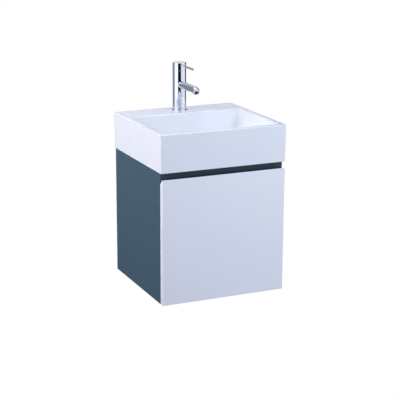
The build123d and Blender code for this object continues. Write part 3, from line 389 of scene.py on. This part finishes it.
# Threads: steps to a turn, steps that the ends run out over, flat of the crest as a share of the pitch
thread_steps = 36
thread_fade = 12
thread_crest = 0.16
thread_lead = 0.0015
waste_thread = {"radius": 0.0209, "pitch": 0.00231, "depth": 0.0004}
stud_thread = {"radius": 0.003, "pitch": 0.001, "depth": 0.0002}

# Grip band of the trap's cup
cup_ribs = 40
band_radius = 0.0354
band_height = 0.012
rib_proud = 0.0006
rib_half = 0.0008
rib_inset = 0.0018
rib_edge = 0.0004


def make_aerator():
    """Stream insert of the aerator: hub, three rings and fine vanes before a recessed plate."""
    middle = centre(*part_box("tap_aerator_insert"))
    outward = Matrix.Rotation(math.radians(90 + mouth_tilt), 4, "X")
    behind = Matrix.Translation((0, 0, -(insert_front + insert_back) / 2))
    mouth = Matrix.Translation(middle) @ outward @ behind
    floor = insert_front - screen_depth
    edge = screen_gap
    plate = [(axis_radius, insert_back), (insert_radius, insert_back),
             (insert_radius, floor), (axis_radius, floor)]
    shapes = [spun(plate, screen_sides)]
    for inner, outer in screen_rings:
        ring = [(inner, floor), (outer, floor), (outer, insert_front - edge),
                (outer - edge / 2, insert_front), (inner + edge / 2, insert_front),
                (inner, insert_front - edge)]
        shapes.append(spun(ring, screen_sides))
    blade = slab((vane_from, -vane_half, floor), (vane_to, vane_half, insert_front - 2 * edge))
    for vane in range(vane_count):
        shapes.append(turned_shape(blade, Matrix.Rotation(2 * math.pi * vane / vane_count, 4, "Z")))
    verts, faces = turned_shape(joined(shapes), mouth)
    piece = add_piece("aerator_screen", verts, faces, "grey_plastic", "root", False)
    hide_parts("tap_aerator_insert")


def make_threads():
    """Rolled threads of the waste's tail and of the tap's stud, each up to the top of its nut."""
    for name, node_name, nut_name, thread in (("waste_thread", "waste_body", "waste_back_nut", waste_thread),
                                              ("stud_thread", "tap_stud", "tap_clamp_nut", stud_thread)):
        low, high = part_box(node_name)
        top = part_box(nut_name)[1][2]
        verts, faces = ribbon_screw(centre(low, high), low=low[2] + thread_lead, high=top, **thread)
        add_piece(name, verts, faces, slot_of[node_name])


def make_cup_ribs():
    """Grip ribs round the band of the trap's screw-off cup."""
    low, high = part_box("trap_cup")
    middle = centre(low, high)
    rib = slab((band_radius - rib_proud, -rib_half, high[2] - band_height + rib_inset),
               (band_radius + rib_proud, rib_half, high[2] - rib_inset))
    across = Matrix.Translation((middle[0], middle[1], 0))
    ribs = [turned_shape(rib, across @ Matrix.Rotation(2 * math.pi * turn / cup_ribs, 4, "Z"))
            for turn in range(cup_ribs)]
    verts, faces = joined(ribs)
    piece = add_piece("trap_cup_ribs", verts, faces, slot_of["trap_cup"], "root", False)
    rounding = piece.modifiers.new("rounding", "BEVEL")
    rounding.width = rib_edge
    rounding.segments = 2


make_aerator()
make_threads()
make_cup_ribs()


# Floor, light and camera

floor_level = -0.575
floor_half = 30.0
backdrop_height = 30.0
shell_radius = 2.2
shell_low = -1.9
shell_high = 2.6
shell_sides = 96

# Cards: bearings run from the front towards the left, in degrees, negative ones to the right; heights
# are shares of the shell's height. Each has a brightness.
card_bearings = [(-165, 0.75), (-148, 0.75), (-138, 0.02), (-95, 0.02), (-82, 0.95), (-15, 0.95), (2, 0.006),
                 (42, 0.006), (48, 1.3), (95, 1.3), (112, 0.33), (165, 0.27)]
card_heights = [(0.0, 0.32), (0.22, 0.6), (0.32, 0.95), (0.42, 1.0), (1.0, 1.0)]
card_colour = (0.87, 0.93, 1.06)
above_gain = 1.0
below_gain = 0.5

# Dark strip behind the unit: the line along the top of the spout
flag_bearings = (-176.0, -138.0)
flag_radius = 2.1
flag_low = 0.02
flag_high = 0.52
flag_gain = 0.01

# Light: watts and colours
world_colour = (0.90, 0.93, 1.16)
world_strength = 0.5
softbox_side = 1.0
left_power = 25.0
left_colour = (1.0, 0.955, 0.90)
right_power = 20.5
right_colour = (0.90, 1.0, 0.97)
top_power = 2.6

# Camera: place in metres, angles in degrees, focal length in pixels of the photograph
camera_place = (-1.7115, -4.0266, 1.1216)
camera_azimuth = 24.28
camera_drop = 15.26
camera_roll = 0.27
focal_pixels = 1232.25
picture_pixels = 400.0
sensor = 36.0


def emission_tree(name):
    """New emissive material with nothing but its light and its output."""
    material = bpy.data.materials.new(name)
    material.use_nodes = True
    tree = material.node_tree
    tree.nodes.clear()
    light = tree.nodes.new("ShaderNodeEmission")
    out = tree.nodes.new("ShaderNodeOutputMaterial")
    return material, tree, light, out


def plain_white(name, strength):
    """Even white surface that shows on its front only."""
    material, tree, light, out = emission_tree(name)
    light.inputs["Strength"].default_value = strength
    clear = tree.nodes.new("ShaderNodeBsdfTransparent")
    side = tree.nodes.new("ShaderNodeNewGeometry")
    choose = tree.nodes.new("ShaderNodeMixShader")
    tree.links.new(side.outputs["Backfacing"], choose.inputs["Fac"])
    tree.links.new(light.outputs["Emission"], choose.inputs[1])
    tree.links.new(clear.outputs["BSDF"], choose.inputs[2])
    tree.links.new(choose.outputs["Shader"], out.inputs["Surface"])
    return material


def ramp(tree, factor, stops):
    """Grey value along a factor from (place, value) stops."""
    node = tree.nodes.new("ShaderNodeValToRGB")
    elements = node.color_ramp.elements
    for position, value in stops[1:-1]:
        elements.new(position)
    for element, (position, value) in zip(elements, stops):
        element.position = position
        element.color = (value, value, value, 1.0)
    tree.links.new(factor, node.inputs["Fac"])
    return node.outputs["Color"]


def product(tree, first, second):
    """First value times the second."""
    node = tree.nodes.new("ShaderNodeMath")
    node.operation = "MULTIPLY"
    tree.links.new(first, node.inputs[0])
    tree.links.new(second, node.inputs[1])
    return node.outputs["Value"]


def studio_cards(name, around, upward):
    """Light and dark cards round the unit: brightness by bearing and by height."""
    material, tree, light, out = emission_tree(name)
    source = tree.nodes.new("ShaderNodeTexCoord")
    bearing = tree.nodes.new("ShaderNodeTexGradient")
    bearing.gradient_type = "RADIAL"
    tree.links.new(source.outputs["Object"], bearing.inputs["Vector"])
    split = tree.nodes.new("ShaderNodeSeparateXYZ")
    tree.links.new(source.outputs["Object"], split.inputs["Vector"])
    height = spread(tree, split.outputs["Z"], 0.0, 1.0, shell_low, shell_high)
    value = product(tree, ramp(tree, bearing.outputs["Fac"], around), ramp(tree, height, upward))
    light.inputs["Color"].default_value = (*card_colour, 1.0)
    tree.links.new(value, light.inputs["Strength"])
    tree.links.new(light.outputs["Emission"], out.inputs["Surface"])
    return material


def stage_piece(name, verts, faces, material, seen_by):
    """Piece of the studio that only some kinds of ray meet."""
    mesh = bpy.data.meshes.new(name)
    mesh.from_pydata(verts, [], faces)
    mesh.materials.append(material)
    piece = bpy.data.objects.new(name, mesh)
    bpy.context.scene.collection.objects.link(piece)
    for kind in ("camera", "diffuse", "glossy", "transmission", "shadow"):
        setattr(piece, "visible_" + kind, kind in seen_by)


def circle(radius, level, turns):
    """Points at some turns, in radians, round the upright axis."""
    return [(radius * math.cos(turn), radius * math.sin(turn), level) for turn in turns]


def all_round(sides):
    """Even turns round the whole circle."""
    return [2 * math.pi * index / sides for index in range(sides)]


def ring_wall(radius, low, high, sides):
    """Points and inward faces of an upright cylinder wall."""
    verts = circle(radius, low, all_round(sides)) + circle(radius, high, all_round(sides))
    after = [(index + 1) % sides for index in range(sides)]
    faces = [(index, index + sides, after[index] + sides, after[index]) for index in range(sides)]
    return verts, faces


def disc(radius, level, sides):
    """Points and one face of a flat disc."""
    return circle(radius, level, all_round(sides)), [tuple(range(sides))]


def make_floor():
    """Pale studio floor below the hanging unit, with a backdrop of the same white far behind."""
    half = floor_half
    corners = [(x, y, floor_level) for x, y in ((-half, -half), (half, -half), (half, half), (-half, half))]
    white = plain_white("studio_white", 1.0)
    stage_piece("floor", corners, [(0, 1, 2, 3)], white, ("camera", "transmission"))
    verts, faces = ring_wall(floor_half, -backdrop_height, backdrop_height, shell_sides)
    stage_piece("backdrop", verts, faces, white, ("camera", "transmission"))


def bearing_place(degrees):
    """Place on the radial ramp of a bearing counted from the front towards the left."""
    return ((-90.0 - degrees) / 360.0 + 0.5) % 1.0


def card_stops(cards):
    """Ramp stops, in order, from (bearing, value) pairs round the whole circle."""
    stops = sorted((bearing_place(bearing), value) for bearing, value in cards)
    first, last = stops[0], stops[-1]
    share = (1.0 - last[0]) / (1.0 - last[0] + first[0])
    seam = last[1] + (first[1] - last[1]) * share
    return [(0.0, seam), *stops, (1.0, seam)]


def plain_card(name, strength):
    """Card of one brightness."""
    material, tree, light, out = emission_tree(name)
    light.inputs["Strength"].default_value = strength
    tree.links.new(light.outputs["Emission"], out.inputs["Surface"])
    return material


def make_cards():
    """Cards that only reflections show: they shape the chrome and give the gloss something to mirror."""
    wall = studio_cards("cards_round", card_stops(card_bearings), card_heights)
    verts, faces = ring_wall(shell_radius, shell_low, shell_high, shell_sides)
    stage_piece("cards_round", verts, faces, wall, ("glossy",))
    for name, level, gain in (("card_above", shell_high, above_gain), ("card_below", shell_low, below_gain)):
        stage_piece(name, *disc(shell_radius, level, shell_sides), plain_card(name, gain), ("glossy",))
    turns = [math.radians(-90.0 - bearing) for bearing in flag_bearings]
    flag = circle(flag_radius, flag_low, turns) + circle(flag_radius, flag_high, turns)
    stage_piece("card_flag", flag, [(0, 1, 3, 2)], plain_card("card_flag", flag_gain), ("glossy",))


def softbox(name, position, target, power, colour=(1.0, 1.0, 1.0)):
    """Square soft light aimed at a point; the cards stand in for it in reflections."""
    light = bpy.data.lights.new(name, "AREA")
    light.shape = "RECTANGLE"
    light.size, light.size_y = softbox_side, softbox_side
    light.energy = power
    light.color = colour
    lamp = bpy.data.objects.new(name, light)
    lamp.location = position
    lamp.rotation_euler = (Vector(target) - Vector(position)).to_track_quat("-Z", "Y").to_euler()
    lamp.visible_glossy = False
    bpy.context.scene.collection.objects.link(lamp)


def make_world(colour, strength):
    """Even soft light from all round."""
    world = bpy.data.worlds.new("studio")
    bpy.context.scene.world = world
    world.use_nodes = True
    background = world.node_tree.nodes["Background"]
    background.inputs["Color"].default_value = (*colour, 1.0)
    background.inputs["Strength"].default_value = strength


def make_camera():
    """Camera at the photograph's angle and distance."""
    camera = bpy.data.cameras.new("camera")
    camera.sensor_width = sensor
    camera.lens = sensor * focal_pixels / picture_pixels
    camera.clip_start = 0.05
    camera.clip_end = 200.0
    eye = bpy.data.objects.new("camera", camera)
    turn = Matrix.Rotation(math.radians(-camera_azimuth), 4, "Z")
    tilt = Matrix.Rotation(math.radians(90 - camera_drop), 4, "X")
    roll = Matrix.Rotation(math.radians(camera_roll), 4, "Z")
    eye.matrix_world = Matrix.Translation(camera_place) @ turn @ tilt @ roll
    bpy.context.scene.collection.objects.link(eye)
    bpy.context.scene.camera = eye


make_floor()
make_cards()
make_world(world_colour, world_strength)
softbox("left_box", (-1.7, -0.1, 0.9), (-0.1, -0.2, 0), left_power, left_colour)
softbox("right_box", (0.9, -1.9, 1.4), (0.1, -0.4, 0.1), right_power, right_colour)
softbox("top_box", (-0.5, -0.3, 1.9), (0, -0.25, 0.2), top_power)
make_camera()
bpy.context.scene.view_settings.view_transform = "Standard"
